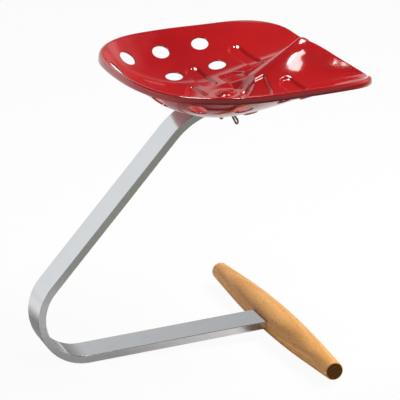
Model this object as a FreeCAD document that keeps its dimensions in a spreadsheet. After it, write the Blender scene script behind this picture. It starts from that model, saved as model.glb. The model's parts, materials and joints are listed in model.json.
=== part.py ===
import FreeCAD, Part
import Sketcher
import math
import os

# Tractor seat stool: a pressed steel pan on a flat cantilever stem, with a turned beech crossbar.
# Millimetres. +X runs from the lower bend to the crossbar, +Z is up, the floor is z = 0 and
# the lower bend turns about the line x = 0.

os.makedirs("parts", exist_ok=True)
doc = FreeCAD.newDocument("tractor_seat_stool")

# Driving dimensions
SIZES = {
    # flat stem
    "bar_width": 60.0,
    "bar_thick": 12.0,
    "bar_edge": 0.8,
    "foot_slope": 3.57,
    "leg_slope": 48.75,
    "top_slope": 7.0,
    "lower_bend": 66.0,
    "upper_bend": 118.0,
    "leg_long": 305.2,
    "saddle_run": 18.6,
    "top_overhang": 32.0,
    # seat bolt and what it clamps
    "bolt_size": 10.0,
    "bolt_end_chamfer": 1.0,
    "running_gap": 0.05,
    "washer_gap": 0.35,
    "bolt_head": 24.0,
    "bolt_head_rim": 0.8,
    "bolt_head_high": 5.0,
    "neck_side": 10.0,
    "neck_gap": 0.2,
    "neck_long": 4.0,
    "bolt_free_end": 2.5,
    "pad_wide": 44.0,
    "pad_thick": 3.0,
    "pad_hole": 16.0,
    "plain_washer": 24.0,
    "plain_washer_thick": 2.0,
    "spring_washer": 17.6,
    "spring_washer_thick": 2.6,
    "spring_split": 1.6,
    # wing nut
    "nut_base": 19.0,
    "nut_top": 14.0,
    "nut_collar": 4.0,
    "nut_high": 12.5,
    "wire": 3.2,
    "wing_out": 25.0,
    "wing_down": 24.0,
    "wing_tip_bend": 4.2,
    "wing_root": 7.4,
    "wing_root_high": 4.2,
    "wing_root_low": 8.4,
    "wing_turn": -75.0,
    # crossbar and its screws
    "crossbar_long": 500.0,
    "crossbar_thick": 50.0,
    "crossbar_end": 29.0,
    "crossbar_taper": 3.54,
    "crossbar_round": 3.0,
    "crossbar_place": 328.0,
    "planed_flat": 1.5,
    "mortise_side_gap": 0.7,
    "mortise_end_gap": 1.0,
    "bar_past_axis": 12.0,
    "screw_spread": 32.0,
    "screw_size": 6.0,
    "screw_head": 10.0,
    "screw_head_high": 5.0,
    "screw_socket": 5.0,
    "screw_socket_deep": 2.6,
    "screw_bite": 9.0,
    "screw_washer": 12.4,
    "screw_washer_thick": 1.6,
    "counterbore_gap": 0.3,
    "counterbore_floor": 9.0,
    # seat pan
    "sheet": 2.0,
    "pan_wide": 454.0,
    "floor_low": 3.7,
    "floor_half": 86.0,
    "side_turn": 100.0,
    "back_start": 30.0,
    "back_turn": 113.0,
    "front_start": 122.0,
    "front_turn": 150.0,
    "soft_start": 15.0,
    "ridge_half_wide": 45.0,
    "ridge_ramp": 20.0,
    "pan_hole": 28.0,
    "inner_row": 131.0,
    "wall_run": 45.0,
    "rim_bend": 4.0,
    "lip_lean": 8.0,
    "lip_straight": 7.0,
    "hub_flat": 24.0,
    "hub_blend": 23.0,
    "ring_middle": 15.0,
    "ring_wide": 5.0,
    "ring_high": 2.0,
}

sheet = doc.addObject("Spreadsheet::Sheet", "sizes")
for row, (word, value) in enumerate(SIZES.items(), start=1):
    sheet.set("A%d" % row, word)
    sheet.set("B%d" % row, repr(value))
    sheet.setAlias("B%d" % row, word)
doc.recompute()


def size(word):
    """The value of one named size."""
    return float(sheet.get(word))


def slope(word):
    """A named slope in radians."""
    return math.radians(size(word))


# Shared places, worked out from the driving dimensions
bar_thick = size("bar_thick")
lower_outer = size("lower_bend") + bar_thick
upper_outer = size("upper_bend") + bar_thick
bolt_bore = size("bolt_size") / 2 + size("running_gap")
washer_bore = size("bolt_size") / 2 + size("washer_gap")
screw_bore = size("screw_size") / 2 + size("washer_gap")
crossbar_height = size("crossbar_thick") / 2 - size("planed_flat")
foot_end = size("crossbar_place") + size("bar_past_axis")
sheet_under = size("pad_thick")
sheet_top = sheet_under + size("sheet")
plain_level = -bar_thick
spring_level = plain_level - size("plain_washer_thick")
nut_level = spring_level - size("spring_washer_thick")
bolt_long = sheet_top - nut_level + size("nut_high") + size("bolt_free_end")
UP_BOLT = FreeCAD.Rotation(FreeCAD.Vector(0, 1, 0), -size("top_slope"))
UP = FreeCAD.Vector(0, 0, 1)


def flat_point(across, up):
    return FreeCAD.Vector(across, up, 0)


def heading(word):
    """The way a stretch of the stem runs, and the way its outer face looks, in the side view."""
    lean = slope(word)
    return flat_point(math.cos(lean), math.sin(lean)), flat_point(-math.sin(lean), math.cos(lean))


# Side view of the stem: centres of its two bends and the spot on its top that the bolt goes through
along_foot, foot_normal = heading("foot_slope")
along_leg, leg_normal = heading("leg_slope")
along_top, top_normal = heading("top_slope")
lower_centre = flat_point(0, lower_outer)
upper_centre = lower_centre + leg_normal * (lower_outer - upper_outer) + along_leg * size("leg_long")
saddle_spot = upper_centre + top_normal * upper_outer + along_top * size("saddle_run")
SADDLE = FreeCAD.Vector(saddle_spot.x, 0, saddle_spot.y)


def bolt_level(height, turn=0):
    """Placement on the bolt's axis, at a height above the stem's top face."""
    spin = FreeCAD.Rotation(UP, turn)
    return FreeCAD.Placement(SADDLE + UP_BOLT.multVec(UP * height), UP_BOLT.multiply(spin))


def foot_underside(place):
    """Height of the foot leg's underside at a place along X."""
    lean = slope("foot_slope")
    return lower_outer * (1 - 1 / math.cos(lean)) + place * math.tan(lean)


# Sketches and bodies
def new_body(name):
    body = doc.addObject("PartDesign::Body", name)
    body.Label = name
    return body


def new_sketch(body, name, role, offset=None):
    """A sketch on one of the body's own origin planes."""
    sketch = body.newObject("Sketcher::SketchObject", name)
    plane = next(item for item in body.Origin.OriginFeatures if item.Role == role)
    sketch.AttachmentSupport = [(plane, "")]
    sketch.MapMode = "FlatFace"
    if offset is not None:
        sketch.AttachmentOffset = offset
    return sketch


def bind(sketch, kind, where, word, expression, value):
    """A driving constraint with a name, whose value is read from the sheet."""
    index = sketch.addConstraint(Sketcher.Constraint(kind, *where, value))
    sketch.renameConstraint(index, word)
    sketch.setExpression("Constraints." + word, expression)


def hold(sketch, kind, *where):
    """A geometric constraint without a value."""
    sketch.addConstraint(Sketcher.Constraint(kind, *where))


def bind_point(sketch, item, end, across, up):
    """Tie one end of a line to the two axes. Each of across and up is (words, number)."""
    if across[1] == 0:
        hold(sketch, "PointOnObject", item, end, -2)
    elif across[1] > 0:
        bind(sketch, "DistanceX", (-1, 1, item, end), "across_%d_%d" % (item, end), across[0], across[1])
    else:
        bind(sketch, "DistanceX", (item, end, -1, 1), "across_%d_%d" % (item, end), across[0], -across[1])
    if up[1] == 0:
        hold(sketch, "PointOnObject", item, end, -1)
    elif up[1] > 0:
        bind(sketch, "DistanceY", (-1, 1, item, end), "up_%d_%d" % (item, end), up[0], up[1])
    else:
        bind(sketch, "DistanceY", (item, end, -1, 1), "up_%d_%d" % (item, end), up[0], -up[1])


def outline(sketch, corners):
    """A closed outline through corners, each one ((words, number), (words, number))."""
    count = len(corners)
    for index, (across, up) in enumerate(corners):
        ahead = corners[(index + 1) % count]
        start = flat_point(across[1], up[1])
        sketch.addGeometry(Part.LineSegment(start, flat_point(ahead[0][1], ahead[1][1])))
    for index, (across, up) in enumerate(corners):
        hold(sketch, "Coincident", index, 2, (index + 1) % count, 1)
        bind_point(sketch, index, 1, across, up)


def circle(sketch, words, diameter):
    """A circle about the sketch's origin."""
    ring = sketch.addGeometry(Part.Circle(flat_point(0, 0), UP, diameter / 2))
    hold(sketch, "Coincident", ring, 3, -1, 1)
    bind(sketch, "Diameter", (ring,), "wide_%d" % ring, words, diameter)


def feature(body, kind, name, profile=None, length=None):
    """A body feature, with its profile and the words for its length."""
    item = body.newObject("PartDesign::" + kind, name)
    if profile is not None:
        item.Profile = profile
    if length is not None:
        item.setExpression("Length", length)
    return item


def revolve(body, name, sketch, axis):
    turn = feature(body, "Revolution", name, sketch)
    turn.ReferenceAxis = (sketch, [axis])
    turn.Angle = 360
    return turn


ZERO = ("", 0)


def half(word):
    """Half of a named size, as words and a number."""
    return ("sizes.%s / 2" % word, size(word) / 2)


def whole(word, sign=1):
    """A named size, as words and a number."""
    return ("sizes." + word, sign * size(word))


def flat_ring(name, outside, hole_words, hole, thick, place):
    """A flat disc with a round hole, lying above its own origin."""
    body = new_body(name)
    face = new_sketch(body, name + "_face", "XY_Plane")
    circle(face, "sizes." + outside, size(outside))
    circle(face, hole_words, hole)
    feature(body, "Pad", name + "_disc", face, "sizes." + thick)
    body.Placement = place
    return body


def gathered(name, pieces):
    """Several equal solids under one label."""
    group = doc.addObject("Part::Compound", name)
    group.Links = pieces
    group.Label = name
    return group


def cut_from(name, base, tools):
    """The base without the tools."""
    if len(tools) > 1:
        tool = doc.addObject("Part::MultiFuse", name + "_tools")
        tool.Shapes = tools
    else:
        tool = tools[0]
    result = doc.addObject("Part::Cut", name)
    result.Base = base
    result.Tool = tool
    result.Label = name
    return result


def drill(name, diameter, deep, place):
    """A cylinder that stands for a drilled hole. Diameter and depth are sheet words."""
    tool = doc.addObject("Part::Cylinder", name)
    tool.setExpression("Radius", diameter)
    tool.setExpression("Height", deep)
    tool.Placement = place
    return tool


# Flat chromed stem: foot leg, lower bend, leg, upper bend and the top that carries the pan
def stem_face(inset):
    """Lines and arcs of one face of the stem, at a depth inside its outer face."""
    foot = slope("foot_slope")
    leg = slope("leg_slope")
    top = slope("top_slope")
    quarter = math.pi / 2
    lower_radius = lower_outer - inset
    upper_radius = upper_outer - inset
    foot_start = lower_centre - foot_normal * lower_radius
    foot_tip = foot_start + along_foot * ((foot_end - lower_outer * math.sin(foot)) / math.cos(foot))
    leg_start = lower_centre + leg_normal * lower_radius
    top_start = upper_centre + top_normal * upper_radius
    top_tip = top_start + along_top * (size("saddle_run") + size("top_overhang"))
    lower_circle = Part.Circle(lower_centre, UP, lower_radius)
    upper_circle = Part.Circle(upper_centre, UP, upper_radius)
    return [
        Part.LineSegment(foot_start, foot_tip),
        Part.ArcOfCircle(lower_circle, leg + quarter, foot + 3 * quarter),
        Part.LineSegment(leg_start, upper_centre + leg_normal * upper_radius),
        Part.ArcOfCircle(upper_circle, top + quarter, leg + quarter),
        Part.LineSegment(top_start, top_tip),
    ]


def stem_blank():
    """The bent flat bar before it is drilled."""
    body = new_body("stem_blank")
    side = new_sketch(body, "stem_side", "XZ_Plane")
    outer = stem_face(0)
    inner = stem_face(bar_thick)
    side.addGeometry(outer + inner)
    for stretch in (0, 4):
        side.addGeometry(Part.LineSegment(outer[stretch].EndPoint, inner[stretch].EndPoint))
    saddle_point = side.addGeometry(Part.Point(flat_point(SADDLE.x, SADDLE.z)), True)
    for foot in (0, 5):
        lower = foot + 1
        leg = foot + 2
        upper = foot + 3
        top = foot + 4
        hold(side, "Tangent", foot, 1, lower, 2)
        hold(side, "Tangent", lower, 1, leg, 1)
        hold(side, "Tangent", leg, 2, upper, 2)
        hold(side, "Tangent", upper, 1, top, 1)
        hold(side, "Coincident", 10, 1 + foot // 5, foot, 2)
        hold(side, "Coincident", 11, 1 + foot // 5, top, 2)
    hold(side, "Perpendicular", 10, 0)
    hold(side, "Perpendicular", 11, 4)
    hold(side, "Parallel", 0, 5)
    hold(side, "Parallel", 4, 9)
    hold(side, "Coincident", 1, 3, 6, 3)
    hold(side, "Coincident", 3, 3, 8, 3)
    hold(side, "PointOnObject", 1, 3, -2)
    hold(side, "PointOnObject", saddle_point, 1, 4)
    bind(side, "DistanceY", (-1, 1, 1, 3), "bend_height", "sizes.lower_bend + sizes.bar_thick", lower_outer)
    bind(side, "Radius", (1,), "lower_outer", "sizes.lower_bend + sizes.bar_thick", lower_outer)
    bind(side, "Radius", (6,), "lower_inner", "sizes.lower_bend", size("lower_bend"))
    bind(side, "Radius", (3,), "upper_outer", "sizes.upper_bend + sizes.bar_thick", upper_outer)
    bind(side, "Radius", (8,), "upper_inner", "sizes.upper_bend", size("upper_bend"))
    bind(side, "Angle", (0,), "foot_lean", "sizes.foot_slope * 1 deg", slope("foot_slope"))
    bind(side, "Angle", (2,), "leg_lean", "sizes.leg_slope * 1 deg", slope("leg_slope"))
    bind(side, "Angle", (4,), "top_lean", "sizes.top_slope * 1 deg", slope("top_slope"))
    bind(side, "DistanceX", (-1, 1, 0, 2), "foot_end", "sizes.crossbar_place + sizes.bar_past_axis", foot_end)
    bind(side, "Distance", (2,), "leg_long", "sizes.leg_long", size("leg_long"))
    bind(side, "Distance", (4, 1, saddle_point, 1), "saddle_run", "sizes.saddle_run", size("saddle_run"))
    bind(side, "Distance", (saddle_point, 1, 4, 2), "overhang", "sizes.top_overhang", size("top_overhang"))
    flat = feature(body, "Pad", "stem_flat", side, "sizes.bar_width")
    flat.Midplane = True
    doc.recompute()
    flank = size("bar_width") / 2
    along = []
    for number, edge in enumerate(flat.Shape.Edges, start=1):
        sides = [vertex.Y for vertex in edge.Vertexes]
        if abs(sides[0] - sides[-1]) < 0.01 and abs(abs(sides[0]) - flank) < 0.01:
            along.append("Edge%d" % number)
    rounded = feature(body, "Fillet", "stem_edges")
    rounded.Base = (flat, along)
    rounded.setExpression("Radius", "sizes.bar_edge")
    return body


def screw_places():
    """Plan positions of the two crossbar screws."""
    spread = size("screw_spread") / 2
    return [FreeCAD.Vector(size("crossbar_place"), side * spread, 0) for side in (-1, 1)]


def make_stem():
    deep = "sizes.bar_thick * 2"
    bore = "sizes.bolt_size / 2 + sizes.running_gap"
    tools = [drill("stem_bolt_drill", bore, deep, bolt_level(-1.5 * bar_thick))]
    low = foot_underside(size("crossbar_place")) - 2
    for number, place in enumerate(screw_places()):
        up_there = FreeCAD.Placement(place + UP * low, FreeCAD.Rotation())
        deep = "sizes.bar_thick"
        bore = "sizes.screw_size / 2 + sizes.running_gap"
        tools.append(drill("stem_screw_drill_%d" % number, bore, deep, up_there))
    return cut_from("stem_bar", stem_blank(), tools)


# Turned beech crossbar, planed flat beneath, with the mortise that takes the stem's foot
def crossbar_blank():
    body = new_body("crossbar_blank")
    profile = new_sketch(body, "crossbar_profile", "YZ_Plane")
    reach = size("crossbar_long") / 2
    middle = size("crossbar_thick") / 2
    end = size("crossbar_end") / 2
    lean = slope("crossbar_taper")
    bow = (middle - end - reach * math.tan(lean)) / (1 - math.cos(lean) - math.sin(lean) * math.tan(lean))
    centre = flat_point(0, middle - bow)
    arc_end = centre + flat_point(math.sin(lean), math.cos(lean)) * bow
    quarter = math.pi / 2
    arc_circle = Part.Circle(centre, UP, bow)
    corners = [flat_point(-reach, end), flat_point(-reach, 0), flat_point(reach, 0), flat_point(reach, end)]
    profile.addGeometry(Part.ArcOfCircle(arc_circle, quarter - lean, quarter + lean))
    profile.addGeometry(Part.LineSegment(corners[0], flat_point(-arc_end.x, arc_end.y)))
    for first, second in zip(corners, corners[1:]):
        profile.addGeometry(Part.LineSegment(first, second))
    profile.addGeometry(Part.LineSegment(corners[3], arc_end))
    crest = profile.addGeometry(Part.Point(flat_point(0, middle)), True)
    hold(profile, "Tangent", 0, 2, 1, 2)
    hold(profile, "Tangent", 0, 1, 5, 2)
    hold(profile, "Coincident", 1, 1, 2, 1)
    for line in (2, 3, 4):
        hold(profile, "Coincident", line, 2, line + 1, 1)
    hold(profile, "PointOnObject", 0, 3, -2)
    hold(profile, "PointOnObject", 2, 2, -1)
    hold(profile, "PointOnObject", 3, 2, -1)
    hold(profile, "PointOnObject", crest, 1, -2)
    hold(profile, "PointOnObject", crest, 1, 0)
    hold(profile, "Vertical", 2)
    hold(profile, "Vertical", 4)
    bind(profile, "DistanceY", (-1, 1, crest, 1), "middle", "sizes.crossbar_thick / 2", middle)
    bind(profile, "DistanceY", (-1, 1, 1, 1), "near_end", "sizes.crossbar_end / 2", end)
    bind(profile, "DistanceY", (-1, 1, 4, 2), "far_end", "sizes.crossbar_end / 2", end)
    bind(profile, "DistanceX", (1, 1, -1, 1), "near_reach", "sizes.crossbar_long / 2", reach)
    bind(profile, "DistanceX", (-1, 1, 4, 2), "far_reach", "sizes.crossbar_long / 2", reach)
    bind(profile, "Angle", (1,), "taper", "sizes.crossbar_taper * 1 deg", lean)
    turned = revolve(body, "crossbar_turned", profile, "H_Axis")
    doc.recompute()
    rims = []
    for number, edge in enumerate(turned.Shape.Edges, start=1):
        if edge.Closed and abs(abs(edge.CenterOfMass.y) - reach) < 0.01:
            rims.append("Edge%d" % number)
    rounded = feature(body, "Fillet", "crossbar_ends")
    rounded.Base = (turned, rims)
    rounded.setExpression("Radius", "sizes.crossbar_round")
    body.Placement = FreeCAD.Placement(
        FreeCAD.Vector(size("crossbar_place"), 0, crossbar_height), FreeCAD.Rotation())
    return body


def make_crossbar():
    gap = size("mortise_side_gap")
    lean = FreeCAD.Rotation(FreeCAD.Vector(0, 1, 0), -size("foot_slope"))
    # mortise: a box along the foot leg, wide of the bar by one gap on each side
    mortise = doc.addObject("Part::Box", "mortise")
    mortise.setExpression("Length", "sizes.crossbar_thick * 2")
    mortise.setExpression("Width", "sizes.bar_width + 2 * sizes.mortise_side_gap")
    mortise.setExpression("Height", "sizes.bar_thick + 2 * sizes.mortise_side_gap")
    place = foot_end + size("mortise_end_gap")
    corner = FreeCAD.Vector(place, 0, foot_underside(place))
    shift = lean.multVec(FreeCAD.Vector(-size("crossbar_thick") * 2, 0, -gap))
    corner = corner + shift - FreeCAD.Vector(0, size("bar_width") / 2 + gap, 0)
    mortise.Placement = FreeCAD.Placement(corner, lean)
    # everything below the floor is planed away
    planed = doc.addObject("Part::Box", "planed_away")
    planed.setExpression("Length", "sizes.crossbar_thick")
    planed.setExpression("Width", "sizes.crossbar_long")
    planed.setExpression("Height", "sizes.crossbar_thick")
    planed.Placement = FreeCAD.Placement(
        FreeCAD.Vector(size("crossbar_place") - size("crossbar_thick") / 2,
                       -size("crossbar_long") / 2, -size("crossbar_thick")), FreeCAD.Rotation())
    tools = [mortise, planed]
    for number, place in enumerate(screw_places()):
        below = FreeCAD.Placement(place - UP, FreeCAD.Rotation())
        bore = "sizes.screw_washer / 2 + sizes.counterbore_gap"
        tools.append(drill("counterbore_%d" % number, bore, "sizes.counterbore_floor + 1", below))
        bore = "sizes.screw_size / 2 + sizes.washer_gap"
        tools.append(drill("screw_way_%d" % number, bore, "sizes.crossbar_thick / 2", below))
    return cut_from("crossbar", crossbar_blank(), tools)


# Socket head screws and washers that hold the crossbar on the foot
def make_screws():
    pieces = []
    grip = foot_underside(size("crossbar_place")) - size("counterbore_floor") + size("screw_washer_thick")
    long = grip + size("screw_bite")
    for number, place in enumerate(screw_places()):
        body = new_body("crossbar_screw_%d" % (number + 1))
        side = new_sketch(body, "screw_side_%d" % number, "XZ_Plane")
        shank = half("screw_size")
        head = half("screw_head")
        reach = ("%r" % long, long)
        below = whole("screw_head_high", -1)
        outline(side, [(ZERO, reach), (ZERO, below), (head, below), (head, ZERO), (shank, ZERO), (shank, reach)])
        revolve(body, "screw_turned_%d" % number, side, "V_Axis")
        low = FreeCAD.Placement(UP * -size("screw_head_high"), FreeCAD.Rotation())
        face = new_sketch(body, "screw_socket_%d" % number, "XY_Plane", low)
        hexagon(face, "screw_socket")
        socket = feature(body, "Pocket", "socket_%d" % number, face, "sizes.screw_socket_deep")
        socket.Reversed = True
        under = size("counterbore_floor") - size("screw_washer_thick")
        body.Placement = FreeCAD.Placement(place + UP * under, FreeCAD.Rotation())
        pieces.append(body)
    return gathered("crossbar_screws", pieces)


def hexagon(sketch, word):
    """A regular hexagon about the origin, measured across its flats."""
    corner = size(word) / math.sqrt(3)
    ring = sketch.addGeometry(Part.Circle(flat_point(0, 0), UP, corner), True)
    hold(sketch, "Coincident", ring, 3, -1, 1)
    bind(sketch, "Radius", (ring,), "corner", "sizes.%s / sqrt(3)" % word, corner)
    points = [flat_point(corner * math.cos(math.radians(60 * turn)), corner * math.sin(math.radians(60 * turn)))
              for turn in range(6)]
    lines = [sketch.addGeometry(Part.LineSegment(points[turn], points[(turn + 1) % 6])) for turn in range(6)]
    for turn, line in enumerate(lines):
        hold(sketch, "Coincident", line, 2, lines[(turn + 1) % 6], 1)
        hold(sketch, "PointOnObject", line, 1, ring)
        if turn:
            hold(sketch, "Equal", lines[0], line)
    hold(sketch, "PointOnObject", lines[0], 1, -1)


def make_screw_washers():
    pieces = []
    under = size("counterbore_floor") - size("screw_washer_thick")
    for number, place in enumerate(screw_places()):
        words = "sizes.screw_size + 2 * sizes.washer_gap"
        seat = FreeCAD.Placement(place + UP * under, FreeCAD.Rotation())
        name = "screw_washer_%d" % (number + 1)
        pieces.append(flat_ring(name, "screw_washer", words, 2 * screw_bore, "screw_washer_thick", seat))
    return gathered("crossbar_screw_washers", pieces)


# Rubber pad between the stem's top and the pan
def make_pad():
    return flat_ring("seat_pad", "pad_wide", "sizes.pad_hole", size("pad_hole"), "pad_thick", bolt_level(0))


# Seat bolt: domed head, square neck that the pan's square hole holds, plain shank
def make_bolt():
    body = new_body("seat_bolt")
    side = new_sketch(body, "bolt_side", "XZ_Plane")
    head = size("bolt_head") / 2
    shank = size("bolt_size") / 2
    rim = size("bolt_head_rim")
    crown = size("bolt_head_high")
    chamfer = size("bolt_end_chamfer")
    rise = crown - rim
    dome = (head * head + rise * rise) / (2 * rise)
    start = math.atan2(dome - rise, head)
    centre = flat_point(0, crown - dome)
    places = [(0, crown), (0, -bolt_long), (shank - chamfer, -bolt_long), (shank, chamfer - bolt_long),
              (shank, 0), (head, 0), (head, rim)]
    for first, second in zip(places, places[1:]):
        side.addGeometry(Part.LineSegment(flat_point(*first), flat_point(*second)))
    arc = side.addGeometry(Part.ArcOfCircle(Part.Circle(centre, UP, dome), start, math.pi / 2))
    for line in range(5):
        hold(side, "Coincident", line, 2, line + 1, 1)
    hold(side, "Coincident", 5, 2, arc, 1)
    hold(side, "Coincident", arc, 2, 0, 1)
    hold(side, "PointOnObject", arc, 3, -2)
    long_words = "%r" % bolt_long
    bind_point(side, 0, 1, ZERO, whole("bolt_head_high"))
    bind_point(side, 0, 2, ZERO, (long_words, -bolt_long))
    across = ("sizes.bolt_size / 2 - sizes.bolt_end_chamfer", shank - chamfer)
    bind_point(side, 1, 2, across, (long_words, -bolt_long))
    up = ("%r - sizes.bolt_end_chamfer" % bolt_long, chamfer - bolt_long)
    bind_point(side, 2, 2, half("bolt_size"), up)
    bind_point(side, 3, 2, half("bolt_size"), ZERO)
    bind_point(side, 4, 2, half("bolt_head"), ZERO)
    bind_point(side, 5, 2, half("bolt_head"), whole("bolt_head_rim"))
    revolve(body, "bolt_turned", side, "V_Axis")
    square = new_sketch(body, "bolt_neck", "XY_Plane")
    flat = half("neck_side")
    minus = (flat[0], -flat[1])
    outline(square, [(flat, flat), (minus, flat), (minus, minus), (flat, minus)])
    neck = feature(body, "Pad", "neck", square, "sizes.neck_long")
    neck.Reversed = True
    body.Placement = bolt_level(sheet_top)
    return body


def make_plain_washer():
    words = "sizes.bolt_size + 2 * sizes.washer_gap"
    return flat_ring("plain_washer", "plain_washer", words, 2 * washer_bore, "plain_washer_thick",
                     bolt_level(spring_level))


def make_spring_washer():
    words = "sizes.bolt_size + 2 * sizes.washer_gap"
    ring = flat_ring("spring_ring", "spring_washer", words, 2 * washer_bore, "spring_washer_thick",
                     bolt_level(nut_level))
    # the split runs slantwise through one side of the ring
    split = doc.addObject("Part::Box", "spring_split")
    split.setExpression("Length", "sizes.spring_washer")
    split.setExpression("Width", "sizes.spring_split")
    split.setExpression("Height", "sizes.spring_washer_thick * 3")
    slant = FreeCAD.Rotation(FreeCAD.Vector(1, 0, 0), 25)
    centred = FreeCAD.Placement(FreeCAD.Vector(0, -size("spring_split") / 2, -size("spring_washer_thick") * 1.5),
                                FreeCAD.Rotation())
    middle = bolt_level(nut_level + size("spring_washer_thick") / 2)
    split.Placement = middle.multiply(FreeCAD.Placement(FreeCAD.Vector(), slant)).multiply(centred)
    return cut_from("spring_washer", ring, [split])


# Wing nut: a turned hub and two loops of round wire
def wing_wire(number):
    """One teardrop loop, drawn in the plane of the nut's axis."""
    body = new_body("wing_wire_%d" % number)
    path = new_sketch(body, "wing_path_%d" % number, "XZ_Plane")
    bend = size("wing_tip_bend")
    tip = flat_point(size("wing_out") - bend, -size("wing_down") + bend)
    # each leg starts inside the hub's wall and touches the bend about the tip
    legs = []
    for side, root in ((-1, "wing_root_low"), (1, "wing_root_high")):
        start = flat_point(size("wing_root"), -size(root))
        far = tip - start
        opening = math.asin(bend / far.Length)
        toward = math.atan2(far.y, far.x) + side * opening
        touch = start + flat_point(math.cos(toward), math.sin(toward)) * math.sqrt(far.Length ** 2 - bend ** 2)
        legs.append((start, touch))
    first = math.atan2(legs[0][1].y - tip.y, legs[0][1].x - tip.x)
    second = math.atan2(legs[1][1].y - tip.y, legs[1][1].x - tip.x)
    path.addGeometry(Part.LineSegment(*legs[0]))
    path.addGeometry(Part.ArcOfCircle(Part.Circle(tip, UP, bend), first, second))
    path.addGeometry(Part.LineSegment(legs[1][1], legs[1][0]))
    hold(path, "Tangent", 0, 2, 1, 1)
    hold(path, "Tangent", 1, 2, 2, 1)
    bind(path, "Radius", (1,), "tip_bend", "sizes.wing_tip_bend", bend)
    bind(path, "DistanceX", (-1, 1, 1, 3), "tip_out", "sizes.wing_out - sizes.wing_tip_bend", tip.x)
    bind(path, "DistanceY", (1, 3, -1, 1), "tip_down", "sizes.wing_down - sizes.wing_tip_bend", -tip.y)
    bind_point(path, 0, 1, whole("wing_root"), whole("wing_root_low", -1))
    bind_point(path, 2, 2, whole("wing_root"), whole("wing_root_high", -1))
    begin = legs[0][0]
    ahead = legs[0][1] - begin
    outward = FreeCAD.Vector(ahead.x, 0, ahead.y)
    turn = FreeCAD.Rotation(UP, outward)
    offset = FreeCAD.Placement(FreeCAD.Vector(begin.x, 0, begin.y), turn)
    section = new_sketch(body, "wing_section_%d" % number, "XY_Plane", offset)
    circle(section, "sizes.wire", size("wire"))
    pipe = feature(body, "AdditivePipe", "wing_loop_%d" % number, section)
    pipe.Spine = (path, ["Edge1", "Edge2", "Edge3"])
    body.Placement = bolt_level(nut_level, size("wing_turn") + 180 * number)
    return body


def make_wing_nut():
    wires = gathered("wing_wires", [wing_wire(number) for number in range(2)])
    body = new_body("nut_blank")
    side = new_sketch(body, "nut_side", "XZ_Plane")
    inside = ("sizes.bolt_size / 2 + sizes.running_gap", bolt_bore)
    low = whole("nut_high", -1)
    collar = whole("nut_collar", -1)
    outline(side, [(inside, ZERO), (inside, low), (half("nut_top"), low), (half("nut_base"), collar),
                   (half("nut_base"), ZERO)])
    revolve(body, "nut_turned", side, "V_Axis")
    body.Placement = bolt_level(nut_level)
    return cut_from("wing_nut", body, [wires]), wires


# Pressed steel seat pan
# Crest of the rim on the far side, from the pommel to the back: ahead of the bolt, aside and
# above the stem's top, as drawn for a pan of DRAWN_WIDE
DRAWN_WIDE = 454.0
RIM = [
    (126, 0, 86.5), (134, 12, 83.5), (148, 28, 76.5), (160, 46, 68.5), (170, 68, 61.5), (179, 93, 55.5),
    (184, 121, 51.5), (179, 146, 54.5), (171, 168, 60.5), (158, 193, 63.5), (140, 212, 64.5),
    (116, 222, 65.5), (87, 226, 65.5), (42, 226.5, 64.5), (-6, 227, 63.5), (-55, 222, 62.5),
    (-101, 205, 62.5), (-139, 173, 61.5), (-163, 131, 61.5), (-177, 86, 62.5), (-182, 42, 62.5),
    (-183, 0, 62.5),
]
# Bearings of the holes about the bolt, in degrees from straight ahead, and the outer ones' way in
# from the rim
OUTER_HOLES = [(166, 27), (144, 26), (122.8, 28.5), (102.8, 37), (82.3, 41)]
INNER_HOLES = [108.5, 75.2]
# Rise of the dish's sides, back and front and of its ridge, for each step outwards
SIDE_SLOPE = 0.59
BACK_SLOPE = 0.53
FRONT_SLOPE = 0.203
RIDGE_SLOPE = 0.46
COLUMNS = 44
LAP = 4
HUB = FreeCAD.Vector(SADDLE.x, 0, SADDLE.z) + UP_BOLT.multVec(UP * sheet_top)


def rim_curve():
    """The closed crest of the rim, from the pommel by the far side to the back and round again."""
    curve = Part.BSplineCurve()
    grow = size("pan_wide") / DRAWN_WIDE
    far_side = [SADDLE + FreeCAD.Vector(*place) * grow for place in RIM]
    near_side = [FreeCAD.Vector(spot.x, -spot.y, spot.z) for spot in reversed(far_side[1:-1])]
    curve.interpolate(Points=far_side + near_side, PeriodicFlag=True)
    return curve


def rim_points(count):
    """Points at even steps along one side of the rim, from the back to the pommel."""
    curve = rim_curve()
    start = curve.FirstParameter
    half_way = curve.length() / 2
    points = []
    for step in range(count + 1):
        points.append(curve.value(curve.parameterAtDistance(half_way * (1 - step / count), start)))
    points[0].y = 0
    points[-1].y = 0
    return points


def beyond(run):
    """How far a run has passed zero, with a soft start."""
    soft = size("soft_start")
    return (run + math.sqrt(run * run + soft * soft)) / 2


def ramp(run, turn):
    """A rise of slope one that starts at zero and bends up over a turn."""
    if run <= 0:
        return 0.0
    return run * run / (2 * turn) if run < turn else run - turn / 2


def dish(x, y):
    """Height of the open dish and its centre ridge, without hub and wall."""
    fore = x - SADDLE.x
    side = SIDE_SLOPE * ramp(beyond(abs(y) - size("floor_half")), size("side_turn"))
    back = BACK_SLOPE * ramp(beyond(-fore - size("back_start")), size("back_turn"))
    front = FRONT_SLOPE * ramp(beyond(fore + size("front_start")), size("front_turn"))
    ridge = RIDGE_SLOPE * ramp(fore, size("ridge_ramp")) / math.cosh(y / size("ridge_half_wide")) ** 2
    return SADDLE.z - size("floor_low") + side + back + front + ridge


def smooth(share):
    share = min(1.0, max(0.0, share))
    return share * share * (3 - 2 * share)


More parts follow.
